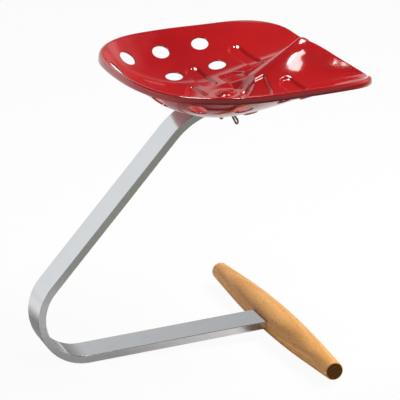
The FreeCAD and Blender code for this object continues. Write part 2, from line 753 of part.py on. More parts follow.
def pan_height(x, y, inset, lift):
    """Height of the pan's upper face. Inset is the way left to the rim crest and lift is how far
    the crest stands above the open dish."""
    away = math.hypot(x - HUB.x, y)
    share = smooth((away - size("hub_flat")) / size("hub_blend"))
    flat = HUB.z + (x - HUB.x) * math.tan(slope("top_slope"))
    height = flat * (1 - share) + dish(x, y) * share
    if inset < size("wall_run"):
        height += lift * (1 - inset / size("wall_run")) ** 2
    return height


def ring_bead(away):
    """Height of the bead that frames the bolt head."""
    off = abs(away - size("ring_middle")) / (size("ring_wide") / 2)
    return size("ring_high") * math.cos(off * math.pi / 2) ** 2 if off < 1 else 0.0


class Column:
    """The pan's section from the hub out to one point of the rim."""

    def __init__(self, rim):
        self.rim = rim
        run = FreeCAD.Vector(rim.x - HUB.x, rim.y, 0)
        self.reach = run.Length
        self.out = run.normalize()
        self.lift = rim.z - dish(rim.x, rim.y)

    def height(self, away):
        x = HUB.x + self.out.x * away
        y = self.out.y * away
        return pan_height(x, y, self.reach - away, self.lift)

    def lean(self, away):
        """Slope of the section, as an angle."""
        return math.atan2(self.height(away + 0.2) - self.height(away - 0.2), 0.4)

    def place(self, away, height):
        return FreeCAD.Vector(HUB.x + self.out.x * away, self.out.y * away, height)

    def rows(self, depth):
        """Points of one face from the hub to the lip's lower edge, at a depth under the upper face."""
        points = []
        bend = size("rim_bend")
        last = self.reach - bend
        first = size("hub_flat") + size("hub_blend")
        ring = [size("ring_middle") + size("ring_wide") * step / 4 for step in range(-2, 3)]
        near = [3, 6.5, 9, 11, 12] + ring + [19, 21, 23, 25, 28, 31, 36, 41, first]
        far = [last - step for step in (46, 38, 30, 23, 16, 10, 5, 0)]
        between = [near[-1] + (far[0] - near[-1]) * step / 5 for step in range(1, 5)]
        for away in near + between + far:
            lean = self.lean(away)
            bead = 0 if depth else ring_bead(away)
            height = self.height(away) + bead
            points.append(self.place(away + depth * math.sin(lean), height - depth * math.cos(lean)))
        # the rolled edge, then the lip that hangs from it
        start = self.lean(last)
        crest = self.height(last)
        centre_out = last + bend * math.sin(start)
        centre_up = crest - bend * math.cos(start)
        end = -math.radians(90 - size("lip_lean"))
        for step in range(1, 8):
            lean = start + (end - start) * step / 7
            out = centre_out - (bend - depth) * math.sin(lean)
            up = centre_up + (bend - depth) * math.cos(lean)
            points.append(self.place(out, up))
        for step in (1, 2, 3):
            drop = size("lip_straight") * step / 3
            points.append(self.place(out + drop * math.cos(end), up + drop * math.sin(end)))
        return points


def pan_columns():
    """Columns all round the pan, starting and ending at the back and lapping two past it."""
    far_side = rim_points(COLUMNS)
    near_side = [FreeCAD.Vector(place.x, -place.y, place.z) for place in reversed(far_side[:-1])]
    ring = far_side + near_side
    lapped = ring[-LAP - 1:-1] + ring + ring[1:LAP + 1]
    return [Column(place) for place in lapped]


def spline_through(points, places):
    """A smooth curve through points, at given places along its own measure."""
    curve = Part.BSplineCurve()
    curve.interpolate(Points=points, Parameters=places)
    return curve


def skin(grid):
    """A smooth surface through a grid of points, as splines out along each column and then
    splines across them."""
    measure = [0.0]
    for row in range(1, len(grid[0])):
        steps = [(column[row] - column[row - 1]).Length for column in grid]
        measure.append(measure[-1] + sum(steps) / len(steps))
    sections = [spline_through(column, measure) for column in grid]
    poles = [section.getPoles() for section in sections]
    turns = [float(index) for index in range(len(grid))]
    across = [spline_through([line[row] for line in poles], turns) for row in range(len(poles[0]))]
    surface = Part.BSplineSurface()
    surface.buildFromPolesMultsKnots(
        [[line.getPole(turn) for line in across] for turn in range(1, across[0].NbPoles + 1)],
        across[0].getMultiplicities(), sections[0].getMultiplicities(),
        across[0].getKnots(), sections[0].getKnots(), False, False, 3, 3)
    return surface


def pan_faces(columns, depth):
    """The two halves of one face of the sheet."""
    surface = skin([column.rows(depth) for column in columns])
    cuts = [float(LAP), float(LAP + COLUMNS), float(LAP + 2 * COLUMNS)]
    low, high = surface.bounds()[2:]
    faces = []
    for start, end in zip(cuts, cuts[1:]):
        piece = surface.copy()
        piece.segment(start, end, low, high)
        faces.append(piece.toShape())
    return faces


def edge_at(face, low_end):
    """The boundary of a face at the hub (low end) or at the lip's lower edge."""
    surface = face.Surface
    start, end, low, high = surface.bounds()
    return surface.vIso(low if low_end else high).toShape(start, end)


def pan_blank():
    """The sheet as one solid, before its holes are cut."""
    columns = pan_columns()
    upper = pan_faces(columns, 0)
    under = pan_faces(columns, size("sheet"))
    joined = []
    for top, bottom in zip(upper, under):
        joined.extend([top, bottom])
        for low_end in (True, False):
            joined.append(Part.makeRuledSurface(edge_at(top, low_end), edge_at(bottom, low_end)))
    shell = Part.makeShell(joined)
    shell.sewShape()
    solid = Part.makeSolid(Part.Shell(shell.Faces))
    if solid.Volume < 0:
        solid.reverse()
    return solid


def hole_drill(angle, inset=None):
    """A round tool square to the pan's surface, at a bearing about the hub. It sits at an inset
    from the rim crest, or else on the inner row."""
    bearing = math.radians(angle)
    rim = min(rim_points(360), key=lambda spot: abs(math.atan2(spot.y, spot.x - HUB.x) - bearing))
    column = Column(rim)
    away = column.reach - inset if inset is not None else size("inner_row")
    lean = column.lean(away)
    middle = column.place(away, column.height(away))
    return middle, FreeCAD.Vector(-column.out.x * math.sin(lean), -column.out.y * math.sin(lean), math.cos(lean))


def make_pan():
    blank = doc.addObject("Part::Feature", "pan_blank")
    blank.Shape = pan_blank()
    square = doc.addObject("Part::Box", "neck_hole")
    side = "sizes.neck_side + 2 * sizes.neck_gap"
    square.setExpression("Length", side)
    square.setExpression("Width", side)
    square.setExpression("Height", "sizes.sheet * 10")
    corner = -(size("neck_side") / 2 + size("neck_gap"))
    shift = FreeCAD.Placement(FreeCAD.Vector(corner, corner, -size("sheet") * 5), FreeCAD.Rotation())
    square.Placement = bolt_level(sheet_under).multiply(shift)
    tools = [square]
    places = [hole_drill(*pair) for pair in OUTER_HOLES] + [hole_drill(angle) for angle in INNER_HOLES]
    deep = 12
    for number, (middle, normal) in enumerate(places):
        for side in (-1, 1):
            where = FreeCAD.Vector(middle.x, middle.y * side, middle.z)
            axis = FreeCAD.Vector(normal.x, normal.y * side, normal.z)
            turn = FreeCAD.Rotation(UP, axis)
            name = "pan_drill_%d%s" % (number, "ab"[side > 0])
            place = FreeCAD.Placement(where - axis * deep, turn)
            tools.append(drill(name, "sizes.pan_hole / 2", "%d" % (2 * deep), place))
    return cut_from("seat_pan", blank, tools)


stem = make_stem()
crossbar = make_crossbar()
wing_nut, wing_wires = make_wing_nut()
nodes = [
    make_pan(), make_bolt(), make_pad(), stem, make_plain_washer(), make_spring_washer(), wing_nut,
    wing_wires, crossbar, make_screws(), make_screw_washers(),
]
doc.recompute()

for item in doc.Objects:
    if "Invalid" in item.State or "Error" in item.State:
        raise RuntimeError("%s did not build: %s" % (item.Label, item.State))

for node in nodes:
    shape = node.Shape
    if shape.isNull() or not shape.isValid() or not shape.Solids:
        raise RuntimeError("%s has no valid solid" % node.Label)
    shape.exportStep("parts/%s.step" % node.Label)
    box = shape.BoundBox
    print("%-24s solids %d  volume %.1f  box %.1f %.1f %.1f  to %.1f %.1f %.1f" % (
        node.Label, len(shape.Solids), shape.Volume, box.XMin, box.YMin, box.ZMin, box.XMax, box.YMax, box.ZMax))
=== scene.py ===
"""Tractor seat stool: pressed pan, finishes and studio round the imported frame.

Shapes are worked out in millimetres, with +X from the lower bend to the crossbar and +Z up,
and turned into metres when a mesh is made.
"""

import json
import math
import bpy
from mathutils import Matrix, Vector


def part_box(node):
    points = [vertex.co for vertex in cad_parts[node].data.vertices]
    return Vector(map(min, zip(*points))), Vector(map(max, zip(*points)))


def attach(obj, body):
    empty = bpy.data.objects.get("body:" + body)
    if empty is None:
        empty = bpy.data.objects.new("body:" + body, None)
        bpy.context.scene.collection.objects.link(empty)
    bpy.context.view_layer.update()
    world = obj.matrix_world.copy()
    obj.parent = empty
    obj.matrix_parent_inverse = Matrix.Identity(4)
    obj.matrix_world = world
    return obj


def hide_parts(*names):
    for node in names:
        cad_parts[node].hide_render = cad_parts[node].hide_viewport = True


bl_info = {
    "name": "Tractor seat stool",
    "version": (1, 0, 0),
    "blender": (4, 5, 0),
    "location": "3D View > Sidebar > Stool",
    "description": "Pressed seat pan, finishes and studio of a tractor seat stool",
    "category": "Add Mesh",
}

import bpy
import numpy as np
from mathutils import Matrix, Vector

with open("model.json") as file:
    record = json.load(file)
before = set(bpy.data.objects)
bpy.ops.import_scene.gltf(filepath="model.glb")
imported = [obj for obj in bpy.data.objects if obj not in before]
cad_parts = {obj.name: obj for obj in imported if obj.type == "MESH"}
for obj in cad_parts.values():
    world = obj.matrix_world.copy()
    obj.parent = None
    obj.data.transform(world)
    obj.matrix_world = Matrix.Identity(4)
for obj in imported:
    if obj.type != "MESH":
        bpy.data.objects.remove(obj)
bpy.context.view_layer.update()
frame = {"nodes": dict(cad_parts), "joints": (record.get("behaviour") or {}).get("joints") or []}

MM = 0.001
SWIVEL = next(joint for joint in frame["joints"] if joint["name"] == "seat_swivel")
# Where the bolt's line leaves the stem's top, how that top leans, and the way up along the bolt
SADDLE = np.array(SWIVEL["pos_m"]) / MM
TOP_LEAN = math.radians(7.0)
BOLT_UP = np.array([-math.sin(TOP_LEAN), 0.0, math.cos(TOP_LEAN)])


# Sizes and colours that a user would change

class StoolPan(bpy.types.PropertyGroup):
    """Shape of the pressed pan."""
    press_deep: bpy.props.FloatProperty(
        name="Pressing depth", description="How deep the seat's recesses are pressed",
        default=0.0032, min=0.0, max=0.006, unit="LENGTH")
    press_edge: bpy.props.FloatProperty(
        name="Pressing edge", description="Width of the slope round each recess",
        default=0.005, min=0.002, max=0.01, unit="LENGTH")
    hole: bpy.props.FloatProperty(
        name="Hole", description="Diameter of the round holes",
        default=0.028, min=0.02, max=0.03, unit="LENGTH")
    hole_edge: bpy.props.FloatProperty(
        name="Hole edge", description="Rounding of the holes' edges",
        default=0.0006, min=0.0002, max=0.0009, unit="LENGTH")
    sheet: bpy.props.FloatProperty(
        name="Sheet", description="Thickness of the pan's steel",
        default=0.002, min=0.001, max=0.003, unit="LENGTH")
    cell: bpy.props.FloatProperty(
        name="Cell", description="Size of the pan's mesh cells at the rim",
        default=0.0017, min=0.001, max=0.01, unit="LENGTH")


class StoolColours(bpy.types.PropertyGroup):
    """Colours of the finishes."""
    red: bpy.props.FloatVectorProperty(
        name="Red", description="Seat enamel", subtype="COLOR", size=3,
        default=(0.45, 0.0085, 0.010))
    deep_red: bpy.props.FloatVectorProperty(
        name="Deep red", description="Enamel where it is thick", subtype="COLOR", size=3,
        default=(0.375, 0.0065, 0.009))
    chrome: bpy.props.FloatVectorProperty(
        name="Chrome", description="Plated flat bar", subtype="COLOR", size=3,
        default=(0.69, 0.712, 0.735))
    light_beech: bpy.props.FloatVectorProperty(
        name="Light beech", description="Early wood", subtype="COLOR", size=3,
        default=(1.0, 0.555, 0.185))
    dark_beech: bpy.props.FloatVectorProperty(
        name="Dark beech", description="Late wood", subtype="COLOR", size=3,
        default=(0.62, 0.24, 0.055))
    bronze: bpy.props.FloatVectorProperty(
        name="Bronze", description="Wing nut", subtype="COLOR", size=3,
        default=(0.23, 0.175, 0.11))
    steel: bpy.props.FloatVectorProperty(
        name="Steel", description="Washers and screws", subtype="COLOR", size=3,
        default=(0.56, 0.56, 0.54))
    rubber: bpy.props.FloatVectorProperty(
        name="Rubber", description="Pad under the pan", subtype="COLOR", size=3,
        default=(0.022, 0.021, 0.020))


class StoolStudio(bpy.types.PropertyGroup):
    """Camera and light."""
    turn: bpy.props.FloatProperty(
        name="Turn", description="Which way the camera looks, from +Y towards +X",
        subtype="ANGLE", default=0.352319349)
    tilt: bpy.props.FloatProperty(
        name="Tilt", description="How far the camera looks down", subtype="ANGLE",
        default=0.306128531)
    roll: bpy.props.FloatProperty(
        name="Roll", description="Roll of the camera", subtype="ANGLE", default=0.000946391)
    distance: bpy.props.FloatProperty(
        name="Distance", description="From the camera to the spot it looks at",
        default=3.66438169, unit="LENGTH")
    target: bpy.props.FloatVectorProperty(
        name="Target", description="The spot at the middle of the picture", subtype="XYZ", size=3,
        default=(0.199637094, 0.0, 0.238912462))
    lens: bpy.props.FloatProperty(
        name="Lens", description="Focal length on a 36 mm sensor", default=208.2656, min=1.0)
    near: bpy.props.FloatProperty(
        name="Near lamp", description="Power of the small lamp whose image lies on the ridge",
        default=0.10, min=0.0, unit="POWER")
    spark: bpy.props.FloatProperty(
        name="Spark lamp", description="Power of the lamp that sparkles on the pressed edges",
        default=3.0, min=0.0, unit="POWER")
    main: bpy.props.FloatProperty(
        name="Main lamp", description="Power of the wide lamp above on the right",
        default=66.0, min=0.0, unit="POWER")
    left: bpy.props.FloatProperty(
        name="Left lamp", description="Power of the low lamp that lights the left of the rim",
        default=0.16, min=0.0, unit="POWER")
    edge: bpy.props.FloatProperty(
        name="Edge lamp", description="Power of the lamp that shows only in the gloss",
        default=19.0, min=0.0, unit="POWER")
    room: bpy.props.FloatProperty(
        name="Room light", description="Brightness of the pale room", default=1.0, min=0.0)


# Material maths

class Signal:
    """A value in a material. Python's own signs add the nodes that work it out."""

    def __init__(self, finish, socket):
        self.finish = finish
        self.socket = socket

    def maths(self, operation, first, second):
        return self.finish.node("Math", {"operation": operation}, {0: first, 1: second})

    def __add__(self, other):
        return self.maths("ADD", self, other)

    def __sub__(self, other):
        return self.maths("SUBTRACT", self, other)

    def __rsub__(self, other):
        return self.maths("SUBTRACT", other, self)

    def __mul__(self, other):
        return self.maths("MULTIPLY", self, other)

    def __pow__(self, other):
        return self.maths("POWER", self, other)

    __radd__ = __add__
    __rmul__ = __mul__


class Finish:
    """The node tree of one material, or of the world."""

    def __init__(self, owner, end):
        owner.use_nodes = True
        self.owner = owner
        self.tree = owner.node_tree
        self.tree.nodes.clear()
        self.end = self.tree.nodes.new(end)

    def node(self, kind, settings=None, sockets=None, out=0):
        """A node with its settings, then its sockets' values or links, as its chosen output."""
        made = self.tree.nodes.new("ShaderNode" + kind)
        for word, value in (settings or {}).items():
            setattr(made, word, value)
        for word, value in (sockets or {}).items():
            if isinstance(value, Signal):
                self.tree.links.new(value.socket, made.inputs[word])
            else:
                made.inputs[word].default_value = value
        return Signal(self, made.outputs[out])

    def here(self):
        """Where on the piece a point is, in metres."""
        return self.node("TexCoord", out="Object")

    def ray(self, kind):
        """1 for light rays of one kind, 0 for all others."""
        return self.node("LightPath", out=kind)

    def parts(self, vector):
        """The three numbers of a vector."""
        split = self.node("SeparateXYZ", None, {0: vector}).socket.node
        return [Signal(self, socket) for socket in split.outputs]

    def facing(self, vector, way):
        """How nearly a vector points a given way, as a cosine."""
        settings = {"operation": "DOT_PRODUCT"}
        return self.node("VectorMath", settings, {0: vector, 1: way}, out="Value")

    def wave(self, value, length):
        """A sine that repeats over a given length."""
        return self.node("Math", {"operation": "SINE"}, {0: value * (2 * math.pi / length)})

    def clamped(self, value):
        """A value held between 0 and 1."""
        return self.node("Clamp", None, {0: value})

    def noise(self, vector, scale, detail, rough=0.5):
        sockets = {"Vector": vector, "Scale": scale, "Detail": detail, "Roughness": rough}
        return self.node("TexNoise", None, sockets)

    def streaks(self, vector, scales, detail, rough=0.5):
        """Noise with its own scale along each axis."""
        stretched = self.node("VectorMath", {"operation": "MULTIPLY"}, {0: vector, 1: scales})
        return self.noise(stretched, 1.0, detail, rough)

    def between(self, value, low, high, first=0.0, last=1.0):
        """A value that goes smoothly from first to last as another goes from low to high."""
        settings = {"interpolation_type": "SMOOTHSTEP"}
        return self.node("MapRange", settings, {0: value, 1: low, 2: high, 3: first, 4: last})

    def blend(self, share, first, second):
        """One colour turning into another."""
        return self.node("Mix", {"data_type": "RGBA"}, {0: share, 6: first, 7: second}, out=2)

    def bump(self, height, deep):
        """Relief from a height between 0 and 1, for a depth in metres."""
        return self.node("Bump", None, {"Height": height, "Distance": deep, "Strength": 1.0})

    def attribute(self, name):
        return self.node("Attribute", {"attribute_name": name}, out="Fac")

    def close(self, shader):
        self.tree.links.new(shader.socket, self.end.inputs["Surface"])
        return self.owner


WHITE = (1.0, 1.0, 1.0, 1.0)
# Depth of each finish's relief, in metres
PEEL_DEEP = 0.00012
STEEL_DEEP = 0.0002
POLISH_DEEP = 0.00001
GRAIN_DEEP = 0.00012
BRONZE_DEEP = 0.00006
RUBBER_DEEP = 0.0001
# The bolt's thread, and where above the saddle its paint begins
THREAD_PITCH = 0.0015
PAINT_BEGINS = (0.0040, 0.0046)
# Growth rings: how far apart, how far they wander, and their heart from the crossbar's middle
RING_GAP = 0.0058
RING_WANDER = 0.011
HEART_AHEAD = 0.031
HEART_UP = -0.058


def new_finish(name):
    return Finish(bpy.data.materials.new(name), "ShaderNodeOutputMaterial")


def shade(colour, by=1.0):
    """A colour property with its brightness changed, with full opacity."""
    return (colour[0] * by, colour[1] * by, colour[2] * by, 1.0)


def enamel_shader(finish, colours):
    """Glossy stove enamel: faint orange peel, slow waves of the pressed sheet, and painted shade on
    the holes' cut walls.
    """
    here = finish.here()
    drift = finish.between(finish.noise(here, scale=7.0, detail=3.0), 0.3, 0.7)
    colour = finish.blend(drift, shade(colours.deep_red), shade(colours.red))
    # Painted shade: the holes' cut walls are darkened towards deep red.
    cut_shade = finish.attribute("cut_edge")
    colour = finish.blend(cut_shade * 0.75, colour, shade(colours.deep_red, 0.35))
    peel = finish.noise(here, scale=130.0, detail=1.0)
    waves = finish.noise(here, scale=26.0, detail=1.0)
    relief = peel * 0.05 + waves * 0.35
    rough = 0.07 + finish.noise(here, scale=14.0, detail=4.0) * 0.07
    return finish.node("BsdfPrincipled", None, {
        "Base Color": colour, "Roughness": rough, "IOR": 1.5, "Coat Weight": 0.25,
        "Coat Roughness": 0.04, "Normal": finish.bump(relief, PEEL_DEEP)})


def enamel(colours):
    finish = new_finish("Red enamel")
    return finish.close(enamel_shader(finish, colours))


def plated_steel_shader(finish, colours, relief=None):
    """Dull plated steel with a fine speckle, and with a coarser relief where one is given."""
    here = finish.here()
    grain = finish.noise(here, scale=900.0, detail=3.0)
    cloud = finish.noise(here, scale=60.0, detail=3.0)
    colour = finish.blend(cloud, shade(colours.steel, 0.8), shade(colours.steel, 1.1))
    height = grain * 0.1 if relief is None else grain * 0.1 + relief
    return finish.node("BsdfPrincipled", None, {
        "Base Color": colour, "Metallic": 1.0, "Roughness": 0.25 + cloud * 0.2,
        "Normal": finish.bump(height, STEEL_DEEP)})


def plated_steel(colours, name):
    finish = new_finish(name)
    return finish.close(plated_steel_shader(finish, colours))


def bolt_finish(colours):
    """Enamel on the head, and below it steel with a thread."""
    finish = new_finish("Painted bolt")
    along = finish.facing(finish.here(), tuple(BOLT_UP)) - float(SADDLE @ BOLT_UP) * MM
    steel = plated_steel_shader(finish, colours, finish.wave(along, THREAD_PITCH) * 1.2)
    painted = finish.between(along, *PAINT_BEGINS)
    paint = enamel_shader(finish, colours)
    return finish.close(finish.node("MixShader", None, {0: painted, 1: steel, 2: paint}))


def chrome(colours):
    """Plated flat bar: polish lines along the bar, faint smears and a little haze."""
    finish = new_finish("Chromed flat bar")
    here = finish.here()
    lines = finish.streaks(here, (6.0, 1500.0, 6.0), detail=2.0)
    haze = finish.between(finish.noise(here, scale=11.0, detail=3.0), 0.35, 0.75)
    smear = finish.between(finish.streaks(here, (30.0, 90.0, 30.0), detail=3.0), 0.55, 0.8)
    colour = finish.blend(haze, shade(colours.chrome, 0.97), shade(colours.chrome, 1.02))
    rough = 0.09 + lines * 0.04 + haze * 0.03 + smear * 0.05
    return finish.close(finish.node("BsdfPrincipled", None, {
        "Base Color": colour, "Metallic": 1.0, "Roughness": rough,
        "Normal": finish.bump(lines, POLISH_DEEP)}))


def beech(colours, centre):
    """Turned beech: growth rings, the short dark flecks of its rays, pores and a dull wax.

    The cut ends are darker and duller than the side: partly the darker end grain, partly painted
    shade."""
    finish = new_finish("Turned beech")
    here = finish.here()
    x, _, z = finish.parts(here)
    across = x - (centre[0] + HEART_AHEAD)
    up = z - (centre[2] + HEART_UP)
    wander = finish.streaks(here, (14.0, 2.6, 14.0), detail=2.0)
    out = (across * across + up * up) ** 0.5 + wander * RING_WANDER
    ring = finish.wave(out, RING_GAP)
    fibre = finish.streaks(here, (650.0, 26.0, 650.0), detail=3.0, rough=0.6)
    pores = finish.between(finish.streaks(here, (1500.0, 90.0, 1500.0), detail=1.0), 0.62, 0.74)
    flecks = finish.between(finish.streaks(here, (900.0, 210.0, 320.0), detail=0.0), 0.66, 0.76)
    cloud = finish.between(finish.streaks(here, (20.0, 5.0, 20.0), detail=3.0), 0.3, 0.7)
    dark = colours.dark_beech
    light = finish.clamped(0.62 + ring * 0.14 + (fibre - 0.5) * 0.7 + (cloud - 0.5) * 0.3)
    colour = finish.blend(light, shade(dark), shade(colours.light_beech))
    colour = finish.blend(flecks * 0.55 + pores * 0.3, colour, shade(dark, 0.55))
    # End grain colour, darkened further by painted shade on the ends.
    light = finish.clamped(0.55 + ring * 0.35 + (fibre - 0.5) * 0.4)
    end_grain_and_shade = finish.blend(light, shade(dark, 0.16), shade(dark, 0.30))
    relief = fibre * 0.5 - pores * 0.5 - flecks * 0.2 + ring * 0.1
    side = finish.node("BsdfPrincipled", None, {
        "Base Color": colour, "Roughness": 0.42 + fibre * 0.16 + pores * 0.1, "IOR": 1.46,
        "Specular IOR Level": 0.35, "Normal": finish.bump(relief, GRAIN_DEEP)})
    end = finish.node("BsdfPrincipled", None, {
        "Base Color": end_grain_and_shade, "Roughness": 0.75 + fibre * 0.1, "Specular IOR Level": 0.1,
        "Normal": finish.bump(relief, GRAIN_DEEP)})
    along = finish.facing(finish.node("TexCoord", out="Normal"), (0.0, 1.0, 0.0))
    ends = finish.between(along ** 2.0, 0.55, 0.9)
    return finish.close(finish.node("MixShader", None, {0: ends, 1: side, 2: end}))


def bronze(colours, name):
    """Dark bronzed metal, brighter where fingers rub it."""
    finish = new_finish(name)
    here = finish.here()
    patina = finish.between(finish.noise(here, scale=160.0, detail=4.0), 0.35, 0.65)
    colour = finish.blend(patina, shade(colours.bronze, 0.6), shade(colours.bronze, 1.35))
    grain = finish.noise(here, scale=1200.0, detail=2.0)
    return finish.close(finish.node("BsdfPrincipled", None, {
        "Base Color": colour, "Metallic": 1.0, "Roughness": 0.28 + patina * 0.16,
        "Normal": finish.bump(grain, BRONZE_DEEP)}))


def rubber(colours):
    """Dull black rubber with a fine grain."""
    finish = new_finish("Rubber pad")
    here = finish.here()
    cloud = finish.noise(here, scale=90.0, detail=3.0)
    grain = finish.noise(here, scale=1500.0, detail=2.0)
    colour = finish.blend(cloud, shade(colours.rubber, 0.7), shade(colours.rubber, 1.5))
    return finish.close(finish.node("BsdfPrincipled", None, {
        "Base Color": colour, "Roughness": 0.62 + grain * 0.2,
        "Normal": finish.bump(grain, RUBBER_DEEP)}))


# Shape of the pan, the same as its solid's, with the recesses that are pressed into it

# Crest of the rim on the far side, from the pommel to the middle of the back, from the saddle
RIM = [
    (126, 0, 86.5), (134, 12, 83.5), (148, 28, 76.5), (160, 46, 68.5), (170, 68, 61.5),
    (179, 93, 55.5), (184, 121, 51.5), (179, 146, 54.5), (171, 168, 60.5), (158, 193, 63.5),
    (140, 212, 64.5), (116, 222, 65.5), (87, 226, 65.5), (42, 226.5, 64.5), (-6, 227, 63.5),
    (-55, 222, 62.5), (-101, 205, 62.5), (-139, 173, 61.5), (-163, 131, 61.5), (-177, 86, 62.5),
    (-182, 42, 62.5), (-183, 0, 62.5),
]
RIM_STEPS = 60
# Holes of one side: degrees about the hub from straight ahead, and how far in from the rim the
# outer ones lie. The inner ones lie in a row about the hub
OUTER_HOLES = [(166, 27), (144, 26), (122.8, 28.5), (102.8, 37), (82.3, 41)]
INNER_HOLES = [108.5, 75.2]
INNER_ROW = 131.0
# The floor, and the bends and slopes of the sides, the back and the front that rise from it
FLOOR_LOW = 3.7
FLOOR_HALF = 86.0
SIDE_TURN = 100.0
SIDE_SLOPE = 0.59
BACK_START = 30.0
BACK_TURN = 113.0
BACK_SLOPE = 0.53
FRONT_START = 122.0
FRONT_TURN = 150.0
FRONT_SLOPE = 0.203
SOFT_START = 15.0
# The ridge that rises to the pommel
RIDGE_SLOPE = 0.46
RIDGE_HALF_WIDE = 45.0
RIDGE_RAMP = 20.0
# The wall's last climb to the rim, the rim's bend and its lip
WALL_RUN = 45.0
RIM_BEND = 4.0
LIP_LEAN = 8.0
LIP_STRAIGHT = 7.0
# The flat about the bolt, with its raised ring, as far above the saddle as a pad and a sheet
PAD_AND_SHEET = 5.0
HUB = SADDLE + BOLT_UP * PAD_AND_SHEET
HUB_FLAT = 24.0
HUB_BLEND = 23.0
HUB_BORE = 8.0
RING_MIDDLE = 15.0
RING_WIDE = 5.0
RING_HIGH = 2.0
# Recesses about the centre line, each pressed on both sides: centre lines of slots with their half
# width, and corners of the two patches beside the middle rib
SLOTS = [
    ([(321.5, 56.0), (329.5, 94.0), (316.0, 152.0)], 9.8),
    ([(239.0, 62.0), (237.0, 100.0), (234.0, 127.0)], 11.0),
]
PATCHES = [
    [(267.0, 15.0), (266.0, 80.0), (284.0, 76.0), (291.0, 60.0), (295.0, 22.0)],
    [(213.0, 14.0), (208.0, 66.0), (198.0, 44.0), (182.0, 14.0)],
]
PATCH_ROUND = 4.0
# Half the step over which slopes are measured, and a distance past all others
PROBE = 0.2
FAR_AWAY = 1e9


def smooth(share):
    """A soft step from 0 to 1."""
    share = np.clip(share, 0.0, 1.0)
    return share * share * (3.0 - 2.0 * share)


def beyond(run):
    """How far a run is past zero, with a soft start."""
    return (run + np.sqrt(run * run + SOFT_START ** 2)) / 2


def ramp(run, turn):
    """A straight climb of 1 in 1 that starts on a bend of a given length."""
    run = np.maximum(0.0, run)
    return np.where(run < turn, run * run / (2 * turn), run - turn / 2)


def closed_spline(points, steps):
    """Points along the smooth closed curve through points, with equal steps in each span."""
    count = len(points)
    ahead = np.roll(points, -1, axis=0)
    chord = np.linalg.norm(ahead - points, axis=1)
    matrix = np.zeros((count, count))
    right = np.zeros((count, 3))
    slope = (ahead - points) / chord[:, None]
    for index in range(count):
        before = chord[index - 1]
        after = chord[index]
        matrix[index, index - 1] += before
        matrix[index, index] += 2 * (before + after)
        matrix[index, (index + 1) % count] += after
        right[index] = 6 * (slope[index] - slope[index - 1])
    bend = np.linalg.solve(matrix, right)
    share = np.arange(steps) / steps
    line = []
    for index in range(count):
        span = chord[index]
        b = share[:, None]
        a = 1 - b
        first = (a ** 3 - a) * bend[index]
        second = (b ** 3 - b) * bend[(index + 1) % count]
        line.append(a * points[index] + b * ahead[index] + (first + second) * span * span / 6)
    return np.concatenate(line)


def run_distance(x, y, start, end):
    """Distance to the straight run between two places."""
    run = (end[0] - start[0], end[1] - start[1])
    share = ((x - start[0]) * run[0] + (y - start[1]) * run[1]) / (run[0] ** 2 + run[1] ** 2)
    share = np.clip(share, 0.0, 1.0)
    return np.hypot(x - start[0] - share * run[0], y - start[1] - share * run[1])


def slot_distance(x, y, line, half):
    """Distance to the outline of a slot with round ends along a line, negative inside."""
    nearest = np.full(np.shape(x), FAR_AWAY)
    for start, end in zip(line, line[1:]):
        nearest = np.minimum(nearest, run_distance(x, y, start, end))
    return nearest - half


def patch_distance(x, y, corners):
    """Distance to the outline of a patch with straight sides, negative inside."""
    nearest = np.full(np.shape(x), FAR_AWAY)
    inside = np.zeros(np.shape(x), bool)
    for start, end in zip(corners, corners[1:] + corners[:1]):
        nearest = np.minimum(nearest, run_distance(x, y, start, end))
        rise = end[1] - start[1]
        if rise:
            crossing = start[0] + (y - start[1]) * (end[0] - start[0]) / rise
            inside ^= ((start[1] > y) != (end[1] > y)) & (x < crossing)
    return np.where(inside, -nearest, nearest)


